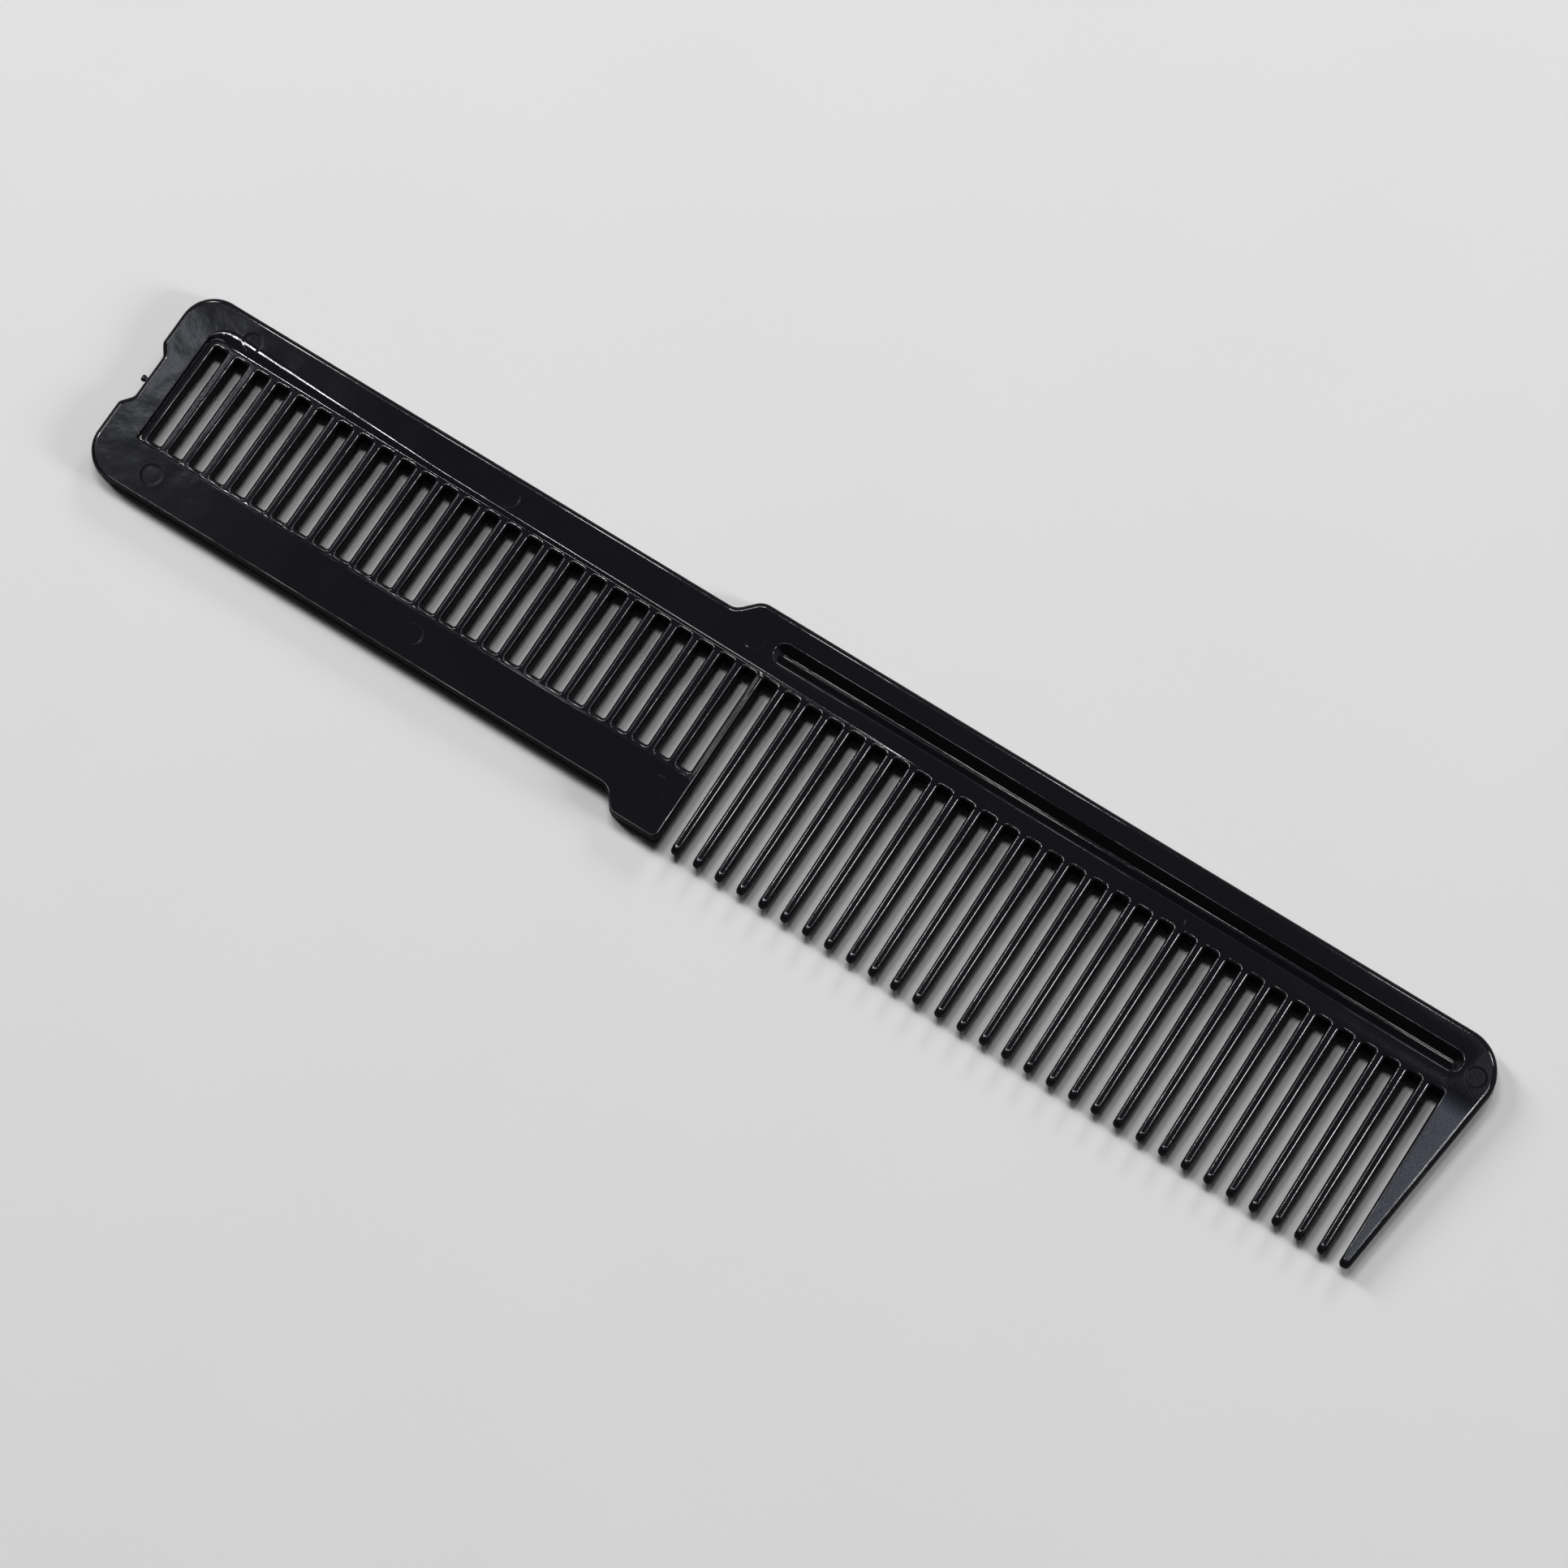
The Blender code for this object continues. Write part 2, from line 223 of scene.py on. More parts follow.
def outline():
    """The outer outline in the middle plane, from the guard tooth's tip."""
    guard_tip_x = GUARD_LEFT_X + GUARD_TIP_WIDTH
    # place, corner radius, kind of the edge that follows, steps of the arc
    corners = [
        corner(guard_tip_x, TIP_Y, 0.7, "rim", 6),
        corner(guard_tip_x + GUARD_LEAN, TOP_Y, GUARD_CORNER, "rim", 20),
        corner(SPINE_STEP_TOP_X, TOP_Y, 2.6, "rim", 8),
        corner(SPINE_STEP_LOW_X, LOW_TOP_Y, 2.0, "rim", 8),
        corner(UPPER_LEFT_X, LOW_TOP_Y, END_CORNER, "rim", 16),
        corner(UPPER_LEFT_X, NOTCH_TOP_Y, NOTCH_CORNER, "rim"),
        corner(NOTCH_X, NOTCH_TOP_Y - NOTCH_RUN, NOTCH_CORNER, "rim"),
        corner(NOTCH_X, NOTCH_BOTTOM_Y + NOTCH_RUN, NOTCH_CORNER, "rim"),
        corner(LEFT_X, NOTCH_BOTTOM_Y, NOTCH_CORNER, "rim"),
        corner(LEFT_X, BAR_BOTTOM_Y, END_CORNER, "base", 16),
        corner(FOOT_STEP_TOP_X, BAR_BOTTOM_Y, 2.0, "base", 8),
        corner(FOOT_STEP_LOW_X, FOOT_BOTTOM_Y, 1.3, "base", 8),
        corner(FOOT_RIGHT_X, FOOT_BOTTOM_Y, 0.8, "side"),
        corner(FOOT_RIGHT_X, ROOT_Y, SLOT_CORNER, "end"),
    ]
    for number in range(CLOSED_SLOTS, CLOSED_SLOTS + FREE_TEETH):
        corners += free_tooth(number)
    corners += [
        corner(GUARD_LEFT_X, ROOT_Y, SLOT_CORNER, "side"),
        corner(GUARD_LEFT_X, TIP_Y, 0.62, "tip", 6),
    ]
    return with_runs(corners)


def closed_slot(number):
    """One closed slot in the middle plane, clockwise, so that the comb is on its left."""
    _, root_left = tooth_sides(number - 1, ROOT_Y)
    _, sill_left = tooth_sides(number - 1, SILL_Y)
    root_right, _ = tooth_sides(number, ROOT_Y)
    sill_right, _ = tooth_sides(number, SILL_Y)
    return with_runs([
        corner(sill_left, SILL_Y, SLOT_CORNER, "side"),
        corner(root_left, ROOT_Y, SLOT_CORNER, "end"),
        corner(root_right, ROOT_Y, SLOT_CORNER, "side"),
        corner(sill_right, SILL_Y, SLOT_CORNER, "end"),
    ])


print("outline corners:", len(outline()), "points:", len(rounded(outline())))

# %% [markdown]
# ## The rounded edge
#
# A moulded edge has a nearly upright wall that leans a little for release, and a soft rounding
# on to the face. The rounding is what catches the light, so it gets eight short steps of a
# quarter ellipse. A last row on the flat keeps the big face's shading flat right up to it.

# %% Rows of the edge
WALL_TOP = 0.7
WALL_LEAN = {"rim": 0.12, "base": 0.1, "side": 0.06, "tip": 0.3, "end": 0.15}
ROUND_INSET = {"rim": 0.84, "base": 0.2, "side": 0.52, "tip": 1.2, "end": 0.72}
ROUND_STEPS = 8
FLAT_INSET = 0.05


def edge_rows():
    """Height share and inset of each kind, from the middle plane to the face."""
    rows = [{"height": 0.0, **{kind: 0.0 for kind in WALL_LEAN}}]
    for step in range(ROUND_STEPS + 1):
        angle = math.pi / 2 * step / ROUND_STEPS
        row = {"height": WALL_TOP + (1 - WALL_TOP) * math.sin(angle)}
        for kind, lean in WALL_LEAN.items():
            row[kind] = lean + (ROUND_INSET[kind] - lean) * (1 - math.cos(angle))
        rows.append(row)
    rows.append({"height": 1.0, **{kind: ROUND_INSET[kind] + FLAT_INSET for kind in WALL_LEAN}})
    return rows


print("rows from the middle plane to the face:", len(edge_rows()))

# %% [markdown]
# ## Relief of the faces
#
# The faces aren't quite flat. The closed half has a shallow recess around its slots, so its
# bars are thinner than the rim, and it runs out to the right. The wide half of the spine has
# a blind V groove, and the mould's ejector pins left faint round marks. One function gives
# the height of the face at any point, and every vertex of the face asks it.

# %% Height of the face
FIELD_DEPTH = 0.35
FIELD_LEFT_X = FIRST_BAR_X - 1.0 * PITCH
FIELD_KNEE_X = FIRST_BAR_X + 10 * PITCH
FIELD_END_X = FIRST_BAR_X + 34 * PITCH
FIELD_LEFT_Y = TOP_Y - 5.9
FIELD_KNEE_Y = TOP_Y - 7.7
FIELD_END_Y = TOP_Y - 8.45
FIELD_BOTTOM_Y = SILL_Y - 1.1
FIELD_CORNER = 3.6
LIP_Y = ROOT_Y + ROUND_INSET["end"] + FLAT_INSET
SLOPE_LEFT = 0.35
SLOPE_TOP_SHARE = 0.92
SLOPE_BOTTOM = 0.3
BEND_START = 0.5
BEND_END = 0.12

GROOVE_LEFT_X = FIRST_BAR_X + 25.1 * PITCH
GROOVE_RIGHT_X = FIRST_BAR_X + 56.1 * PITCH
GROOVE_Y = TOP_Y - 4.9
GROOVE_HALF_WIDTH = 1.48
GROOVE_FLOOR_HALF_WIDTH = 0.23
GROOVE_DEPTH = 1.0
GROOVE_FILLET = 0.12

# place in pitches from the first bar, distance below the top edge, diameter
EJECTOR_MARKS = [
    (0.66, 6.2, 3.0), (0.43, 29.0, 3.2), (12.8, 28.9, 3.3), (24.2, 29.2, 3.5),
    (24.2, 5.1, 3.4), (12.9, 6.1, 3.1), (56.75, 5.3, 3.0), (35.6, 7.6, 1.8), (44.5, 7.6, 1.8),
]
MARK_DEPTH = 0.018
MARK_EDGE = 0.3


def smooth(share):
    """0 to 1 with soft ends."""
    share = min(max(share, 0.0), 1.0)
    return share * share * (3 - 2 * share)


def field_depth(x):
    """Depth of the recess at one place along the comb."""
    return FIELD_DEPTH * min(max((FIELD_END_X - x) / (FIELD_END_X - FIRST_BAR_X), 0.0), 1.0)


def field_top(x):
    """The recess's upper line, which bends once."""
    if x < FIELD_KNEE_X:
        share = (x - FIELD_LEFT_X) / (FIELD_KNEE_X - FIELD_LEFT_X)
        return FIELD_LEFT_Y + (FIELD_KNEE_Y - FIELD_LEFT_Y) * share
    share = (x - FIELD_KNEE_X) / (FIELD_END_X - FIELD_KNEE_X)
    return FIELD_KNEE_Y + (FIELD_END_Y - FIELD_KNEE_Y) * share


def field_slope(x):
    """Width of the recess's upper slope, which runs nearly down to the slot lips."""
    return SLOPE_TOP_SHARE * (field_top(x) - LIP_Y)


def corner_slope(x, angle):
    """Slope width in the recess's upper left corner, from the left side's to the top's."""
    return SLOPE_LEFT + (field_slope(x) - SLOPE_LEFT) * math.sin(angle) ** 2


def field_share(x, y):
    """0 on the rim, 1 on the floor of the recess."""
    from_left = x - FIELD_LEFT_X
    from_top = field_top(x) - y
    if from_left < FIELD_CORNER and from_top < FIELD_CORNER:
        across = FIELD_CORNER - from_left
        along = FIELD_CORNER - from_top
        side = FIELD_CORNER - math.hypot(across, along)
        side /= corner_slope(x, math.atan2(along, across))
    elif from_left < FIELD_CORNER:
        side = from_left / SLOPE_LEFT
    else:
        side = from_top / field_slope(x)
    return min(side, (y - FIELD_BOTTOM_Y) / SLOPE_BOTTOM)


def ramp(share):
    """Depth along the recess's slope: a soft bend, a straight ramp, a short bend."""
    whole = 1 - (BEND_START + BEND_END) / 2
    if share <= 0:
        return 0.0
    if share < BEND_START:
        return share ** 2 / (2 * BEND_START) / whole
    if share < 1 - BEND_END:
        return (share - BEND_START / 2) / whole
    if share < 1:
        return 1 - (1 - share) ** 2 / (2 * BEND_END) / whole
    return 1.0


def field_cut(x, y):
    """Depth of the recess at any point of the face."""
    return field_depth(x) * ramp(field_share(x, y))


def filleted(distance):
    """The distance where it is positive, with a short parabola for the bend at zero."""
    if abs(distance) < GROOVE_FILLET:
        return (distance + GROOVE_FILLET) ** 2 / (4 * GROOVE_FILLET)
    return max(distance, 0.0)


def groove_cut(x, y):
    """Depth of the V groove, with softened lips and floor."""
    along = min(max(x, GROOVE_LEFT_X + GROOVE_HALF_WIDTH), GROOVE_RIGHT_X - GROOVE_HALF_WIDTH)
    inward = GROOVE_HALF_WIDTH - math.hypot(x - along, y - GROOVE_Y)
    wall = GROOVE_HALF_WIDTH - GROOVE_FLOOR_HALF_WIDTH
    return GROOVE_DEPTH * (filleted(inward) - filleted(inward - wall)) / wall


def mark_cut(x, y):
    """Depth of an ejector mark."""
    cut = 0.0
    for pitches, drop, diameter in EJECTOR_MARKS:
        away = math.hypot(x - FIRST_BAR_X - pitches * PITCH, y - TOP_Y + drop)
        cut += MARK_DEPTH * smooth((diameter / 2 - away) / MARK_EDGE)
    return cut


def tooth_half(x, y):
    """Half thickness of a free tooth, which thins towards its tip."""
    root_half = HALF - field_depth(x)
    share = (LIP_Y - y) / (LIP_Y - TIP_Y)
    return root_half + (TIP_HALF - root_half) * share


def face_height(x, y, with_marks):
    """Height of the face above the middle plane."""
    if x > FOOT_RIGHT_X and y < LIP_Y:
        return tooth_half(x, y)
    height = HALF - field_cut(x, y) - groove_cut(x, y)
    return height - mark_cut(x, y) if with_marks else height


print("bar thickness at the left end:", round(2 * (HALF - FIELD_DEPTH), 2), "mm")

# %% [markdown]
# ## Guide lines on the faces
#
# The face is one big flat shape with holes, which a Delaunay triangulation fills well. It
# only needs lines where the relief bends: several along the recess's slope, the lip and floor
# of the groove, and rings for the marks. The lines carry no height of their own.

# %% Guide lines
FIELD_LINES = [-0.05, 0.0, 0.1, 0.2, 0.3, 0.4, 0.5, 0.7, 0.88, 0.94, 1.0]
FIELD_STEP = 1.5
CORNER_STEPS = 12
RING_STEPS = 32
GROOVE_END_STEPS = 12
GROOVE_WALL_LINE = 0.2

# distances inside a mark's edge: just outside, its rim, half down, its floor, just inside
MARK_INSETS = (-0.05, 0.0, 0.5 * MARK_EDGE, MARK_EDGE, MARK_EDGE + 0.05)


def field_line(share):
    """A line round the recess, at one share of its slope."""
    left_x = FIELD_LEFT_X + SLOPE_LEFT * share
    bottom_y = FIELD_BOTTOM_Y + SLOPE_BOTTOM * share
    centre_x = FIELD_LEFT_X + FIELD_CORNER
    points = []
    x = FOOT_RIGHT_X - 1.0
    while x > left_x + 0.5 * FIELD_STEP:
        points.append((x, bottom_y))
        x -= FIELD_STEP
    y = bottom_y
    while y < field_top(left_x) - FIELD_CORNER - 0.5 * FIELD_STEP:
        points.append((left_x, y))
        y += FIELD_STEP
    for step in range(CORNER_STEPS + 1):
        angle = math.pi / 2 * step / CORNER_STEPS
        x = centre_x - math.cos(angle) * (FIELD_CORNER - corner_slope(left_x, angle) * share)
        radius = FIELD_CORNER - corner_slope(x, angle) * share
        points.append((centre_x - radius * math.cos(angle),
                       field_top(x) - FIELD_CORNER + radius * math.sin(angle)))
    x = centre_x + FIELD_STEP
    while x < FIELD_END_X:
        points.append((x, field_top(x) - field_slope(x) * share))
        x += FIELD_STEP
    return points


def groove_ring(inset):
    """A round-ended ring inside the groove's lip."""
    radius = GROOVE_HALF_WIDTH - inset
    left_x = GROOVE_LEFT_X + GROOVE_HALF_WIDTH
    right_x = GROOVE_RIGHT_X - GROOVE_HALF_WIDTH
    points = []
    for centre_x, start in ((right_x, -math.pi / 2), (left_x, math.pi / 2)):
        for step in range(GROOVE_END_STEPS + 1):
            angle = start + math.pi * step / GROOVE_END_STEPS
            points.append((centre_x + radius * math.cos(angle),
                           GROOVE_Y + radius * math.sin(angle)))
    return points


def mark_ring(x, y, radius):
    """A circle round an ejector mark's middle."""
    angles = [math.tau * step / RING_STEPS for step in range(RING_STEPS)]
    return [(x + radius * math.cos(angle), y + radius * math.sin(angle)) for angle in angles]


def guide_loops(with_marks):
    """Closed guide lines of one face."""
    wall = GROOVE_HALF_WIDTH - GROOVE_FLOOR_HALF_WIDTH
    bend = [step * GROOVE_FILLET / 2 for step in range(-2, 3)]
    loops = [groove_ring(inset) for inset in
             bend + [GROOVE_WALL_LINE, wall - GROOVE_WALL_LINE]
             + [wall + inset for inset in bend[:4]]]
    if with_marks:
        for pitches, drop, diameter in EJECTOR_MARKS:
            x = FIRST_BAR_X + pitches * PITCH
            for inset in MARK_INSETS:
                loops.append(mark_ring(x, TOP_Y - drop, diameter / 2 - inset))
    return loops


def guide_lines():
    """Open guide lines round the recess, close together where the slope bends."""
    return [field_line(share) for share in FIELD_LINES]


print("guide lines:", len(guide_lines()), "guide loops:", len(guide_loops(True)))

# %% [markdown]
# ## Building the mesh
#
# Walls are bands between neighbouring loops of the edge, mirrored below the middle plane.
# The two faces come from the triangulation. Vertices that meet are merged, so the result is
# one closed body.

# %% The comb's mesh
MERGE_MM = 0.001
NEAR_MM = 0.0001
FOOT_SLACK = 0.05


def edge_loops(corners, half_at):
    """Loops of one edge from the middle plane up to the face."""
    loops = []
    for row in edge_rows():
        points = rounded(drawn_in(corners, row))
        loops.append([(x, y, row["height"] * half_at(x, y)) for x, y in points])
    return loops


def outline_half(x, y):
    """Half thickness along the outline."""
    if x > FOOT_RIGHT_X + FOOT_SLACK and y < LIP_Y:
        return tooth_half(x, y)
    return HALF


def slot_half(x, y):
    """Half thickness along a closed slot."""
    return HALF - field_cut(x, y)


def inside(loop, x, y):
    """Whether a point lies inside a loop, by counting the edges to its right."""
    crossings = 0
    for i, (bx, by, _) in enumerate(loop):
        ax, ay, _ = loop[i - 1]
        if (ay > y) != (by > y) and x < ax + (y - ay) * (bx - ax) / (by - ay):
            crossings += 1
    return crossings % 2 == 1


def face_triangles(outer, slots, with_marks):
    """Corner points of the triangles that fill one face around the slots."""
    points = []
    edges = []
    heights = []
    for loop in [outer] + slots:
        start = len(points)
        points += [(x, y) for x, y, _ in loop]
        heights += [z for _, _, z in loop]
        edges += [(start + i, start + (i + 1) % len(loop)) for i in range(len(loop))]
    for loop in guide_loops(with_marks):
        start = len(points)
        points += loop
        edges += [(start + i, start + (i + 1) % len(loop)) for i in range(len(loop))]
    for line in guide_lines():
        start = len(points)
        points += line
        edges += [(start + i, start + i + 1) for i in range(len(line) - 1)]
    places, _, faces, sources, _, _ = delaunay_2d_cdt(points, edges, [], 1, NEAR_MM)
    corners = []
    for place, source in zip(places, sources):
        rim = [i for i in source if i < len(heights)]
        height = heights[rim[0]] if rim else face_height(place[0], place[1], with_marks)
        corners.append((place[0], place[1], height))
    triangles = []
    for face in faces:
        x = sum(places[i][0] for i in face) / len(face)
        y = sum(places[i][1] for i in face) / len(face)
        number = round((x - FIRST_SLOT_X) / PITCH)
        if 0 <= number < len(slots) and inside(slots[number], x, y):
            continue
        triangles.append([corners[i] for i in face])
    return triangles


def add_band(mesh, lower, upper):
    """Wall faces between two loops with the same number of points."""
    low = [mesh.verts.new(point) for point in lower]
    high = [mesh.verts.new(point) for point in upper]
    for i in range(len(low)):
        j = (i + 1) % len(low)
        mesh.faces.new((low[i], low[j], high[j], high[i]))


def mirrored(points):
    """The same points on the other side of the middle plane."""
    return [(x, y, -z) for x, y, z in points]


def comb_mesh():
    """The comb as one closed body: walls from face to face, and the two faces."""
    edges = [edge_loops(outline(), outline_half)]
    edges += [edge_loops(closed_slot(number), slot_half) for number in range(CLOSED_SLOTS)]
    mesh = bmesh.new()
    for loops in edges:
        for lower, upper in zip(loops, loops[1:]):
            add_band(mesh, lower, upper)
            add_band(mesh, mirrored(upper), mirrored(lower))
    outer = edges[0][-1]
    slots = [loops[-1] for loops in edges[1:]]
    for triangle in face_triangles(outer, slots, True):
        mesh.faces.new([mesh.verts.new(point) for point in triangle])
    for triangle in face_triangles(outer, slots, False):
        mesh.faces.new([mesh.verts.new(point) for point in reversed(mirrored(triangle))])
    bmesh.ops.remove_doubles(mesh, verts=mesh.verts, dist=MERGE_MM)
    for vertex in mesh.verts:
        vertex.co.z += HALF
        vertex.co *= MM
    return mesh


def piece_from(name, mesh, sharp_degrees):
    """An object in the scene from a finished mesh, shaded smooth up to an angle."""
    data = bpy.data.meshes.new(name)
    mesh.to_mesh(data)
    mesh.free()
    data.shade_smooth()
    data.set_sharp_from_angle(angle=math.radians(sharp_degrees))
    piece = bpy.data.objects.new(name, data)
    bpy.context.collection.objects.link(piece)
    return piece


mesh = comb_mesh()
open_edges = sum(1 for edge in mesh.edges if len(edge.link_faces) != 2)
comb = piece_from("moulded_comb", mesh, sharp_degrees=40)
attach(comb, "root")
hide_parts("comb")
comb.data.calc_loop_triangles()
print("comb triangles:", len(comb.data.loop_triangles), "open edges:", open_edges)

# %% [markdown]
# ## The gate nub
#
# Molten plastic entered the mould through a small runner in the notch of the left end. The
# runner is snapped off by hand, which leaves a short stub. A turned profile fits: a stem
# with a slightly fuller, blunt end.

# %% Gate nub
NUB_Y = TOP_Y - 17.9
# distance out from the notch floor, radius
NUB_PROFILE = [(-0.5, 0.42), (0.0, 0.38), (0.35, 0.38), (0.65, 0.5), (0.9, 0.46), (0.97, 0.3)]
NUB_SIDES = 24


def gate_nub():
    """A stub turned about the X axis."""
    mesh = bmesh.new()
    rings = []
    for out, radius in NUB_PROFILE:
        angles = [math.tau * step / NUB_SIDES for step in range(NUB_SIDES)]
        rings.append([mesh.verts.new(((NOTCH_X - out) * MM,
                                      (NUB_Y + radius * math.cos(angle)) * MM,
                                      (HALF + radius * math.sin(angle)) * MM))
                      for angle in angles])
    for inner, outer in zip(rings, rings[1:]):
        for i in range(NUB_SIDES):
            j = (i + 1) % NUB_SIDES
            mesh.faces.new((inner[i], inner[j], outer[j], outer[i]))
    mesh.faces.new(rings[-1])
    mesh.faces.new(list(reversed(rings[0])))
    bmesh.ops.recalc_face_normals(mesh, faces=mesh.faces)
    return mesh


nub = piece_from("gate_nub", gate_nub(), sharp_degrees=50)
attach(nub, "root")
print("nub reaches", round(-NOTCH_X + NUB_PROFILE[-1][0], 2), "mm to the left of the middle")

# %% [markdown]
# ## Black ABS, moulded in a polished tool
#
# ABS has an index of refraction of about 1.53. The polish of the tool gives the plastic its
# gloss, and the plastic's shrinkage as it cools leaves it a little wavy, which breaks the
# long highlights into short ones. Handling adds fine rubbing that softens the gloss in
# patches. The finest peel is deeper towards the right end, where the glints are more broken.
# The guard tooth's flat is rubbed most: it is rougher, and its bluish grey is partly rubbing and
# partly a painted sheen. Every steep face of the comb gets a satin copy of the plastic: the
# mould's spark-cut blades leave the slot walls satin, and the copy's darker colour and faint
# reflection are painted shade. All patterns use object coordinates, which are metres here.

# %% Material helpers


def linear(code):
    """Linear colour from an sRGB hex code."""
    channels = [int(code[i:i + 2], 16) / 255 for i in (1, 3, 5)]
    linear_values = [value / 12.92 if value <= 0.04045 else ((value + 0.055) / 1.055) ** 2.4
                     for value in channels]
    return (*linear_values, 1.0)


def add_node(owner, kind, settings=None, links=None):
    """Add a node to a material or world, set its sockets and properties, and link its inputs.

    A socket is called by its name, or by its number where several share a name.
    """
    node = owner.node_tree.nodes.new(kind)
    for name, value in (settings or {}).items():
        if isinstance(name, int) or name in node.inputs:
            node.inputs[name].default_value = value
        else:
            setattr(node, name, value)
    for name, source in (links or {}).items():
        owner.node_tree.links.new(source, node.inputs[name])
    return node


def new_material(name):
    """A material with an empty node tree."""
    material = bpy.data.materials.new(name)
    material.use_nodes = True
    material.node_tree.nodes.clear()
    return material


print("a middle grey, #808080, in linear light:", round(linear("#808080")[0], 3))

# %% Gloss and satin black ABS
ABS_IOR = 1.53
ABS_BLACK = "#0b0b0d"
# grey of the guard tooth's flat: partly rubbing, partly a painted bluish sheen
RUBBED_GREY_AND_SHEEN = "#282a38"
# darker black of the walls: painted shade
SATIN_SHADED_BLACK = "#08080a"
POLISH = (0.05, 0.08)
RUB_MM = 22
RUB_SPREAD = (0.35, 0.7)

# rubbing and painted sheen on the guard tooth's flat: soft edges in mm, what counts as flat, dust
RUBBED_ROUGHER = 0.22
WEAR_SHEEN_LEFT_EDGE = 0.8
WEAR_SHEEN_TOP_EDGE = (2.0, 1.0)
FLAT_NORMAL = (0.985, 0.998)
SPECK_MM = 0.14
SPECK_SPREAD = (0.40, 0.62)
SPECK_SHARE = (0.75, 1.35)

# sink waves, ripple and peel: pattern size in mm, detail and roughness of the noise, depth in
# mm at the left and at the right end of the comb
RELIEF = [
    (6.0, 1.0, 0.4, 0.03, 0.03),
    (1.5, 1.0, 0.5, 0.004, 0.004),
    (0.3, 2.0, 0.5, 0.001, 0.004),
]


def noise(material, place, size_mm, detail, roughness):
    """A noise pattern whose features are about this big."""
    settings = {"Scale": 1 / (size_mm * MM), "Detail": detail, "Roughness": roughness}
    return add_node(material, "ShaderNodeTexNoise", settings, {"Vector": place}).outputs["Fac"]


def remap(material, value, low, high, start, end):
    """The value, stretched from one range to another and kept inside it."""
    settings = {"From Min": low, "From Max": high, "To Min": start, "To Max": end}
    return add_node(material, "ShaderNodeMapRange", settings, {"Value": value}).outputs["Result"]


def guard_wear_and_sheen(material, place):
    """Mask of the guard tooth's flat, which is rubbed and carries a painted sheen; the rest is
    plain.
    """
    across = add_node(material, "ShaderNodeSeparateXYZ", None, {"Vector": place})
    surface = add_node(material, "ShaderNodeNewGeometry").outputs["Normal"]
    upward = add_node(material, "ShaderNodeSeparateXYZ", None, {"Vector": surface})
    dust = noise(material, place, SPECK_MM, 2.0, 0.6)
    start_x = GUARD_LEFT_X - WEAR_SHEEN_LEFT_EDGE
    fade_y, end_y = ROOT_Y - WEAR_SHEEN_TOP_EDGE[0], ROOT_Y + WEAR_SHEEN_TOP_EDGE[1]
    parts = [
        remap(material, across.outputs["X"], start_x * MM, GUARD_LEFT_X * MM, 0.0, 1.0),
        remap(material, across.outputs["Y"], fade_y * MM, end_y * MM, 1.0, 0.0),
        remap(material, upward.outputs["Z"], *FLAT_NORMAL, 0.0, 1.0),
        remap(material, dust, *SPECK_SPREAD, *SPECK_SHARE),
    ]
    wear_and_sheen = parts[0]
    for part in parts[1:]:
        wear_and_sheen = add_node(material, "ShaderNodeMath", {"operation": "MULTIPLY"},
                        {0: wear_and_sheen, 1: part}).outputs["Value"]
    return wear_and_sheen


def relief_normal(material, place):
    """The surface's direction after the waves, the ripple and the peel have bent it."""
    across = add_node(material, "ShaderNodeSeparateXYZ", None, {"Vector": place}).outputs["X"]
    normal = None
    for size_mm, detail, roughness, left_mm, right_mm in RELIEF:
        links = {
            "Height": noise(material, place, size_mm, detail, roughness),
            "Distance": remap(material, across, LEFT_X * MM, -LEFT_X * MM,
                              left_mm * MM, right_mm * MM),
        }
        if normal is not None:
            links["Normal"] = normal
        normal = add_node(material, "ShaderNodeBump", {"Strength": 1.0}, links).outputs["Normal"]
    return normal


def black_abs():
    """Gloss black ABS with sink waves, a fine peel, rubbed patches and a painted sheen on the
    guard.
    """
    material = new_material("gloss_black_abs")
    place = add_node(material, "ShaderNodeTexCoord").outputs["Object"]
    rub = noise(material, place, RUB_MM, 4.0, 0.6)
    polish = remap(material, rub, *RUB_SPREAD, *POLISH)
    wear_and_sheen = guard_wear_and_sheen(material, place)
    rough = add_node(material, "ShaderNodeMath", {"operation": "MULTIPLY_ADD", 1: RUBBED_ROUGHER},
                     {0: wear_and_sheen, 2: polish})
    # the guard tooth's upward faces turn grey: rubbing, and a painted bluish sheen
    colour = add_node(material, "ShaderNodeMix",
                      {"data_type": "RGBA", "clamp_factor": True,
                       6: linear(ABS_BLACK), 7: linear(RUBBED_GREY_AND_SHEEN)}, {"Factor": wear_and_sheen})
    shader = add_node(material, "ShaderNodeBsdfPrincipled", {"IOR": ABS_IOR},
                      {"Base Color": colour.outputs[2], "Roughness": rough.outputs["Value"],
                       "Normal": relief_normal(material, place)})
    add_node(material, "ShaderNodeOutputMaterial", None, {"Surface": shader.outputs["BSDF"]})
    return material


def shaded_satin_abs():
    """A satin copy for every steep face: satin slot walls, with a darker colour and weak
    reflection as painted shade.
    """
    material = new_material("satin_painted_shade_abs")
    # darker colour and a faint reflection: painted shade on the walls
    shader = add_node(material, "ShaderNodeBsdfPrincipled",
                      {"Base Color": linear(SATIN_SHADED_BLACK), "IOR": ABS_IOR, "Roughness": 0.55,
                       "Specular IOR Level": 0.05})
    add_node(material, "ShaderNodeOutputMaterial", None, {"Surface": shader.outputs["BSDF"]})
    return material


gloss = black_abs()
satin = shaded_satin_abs()
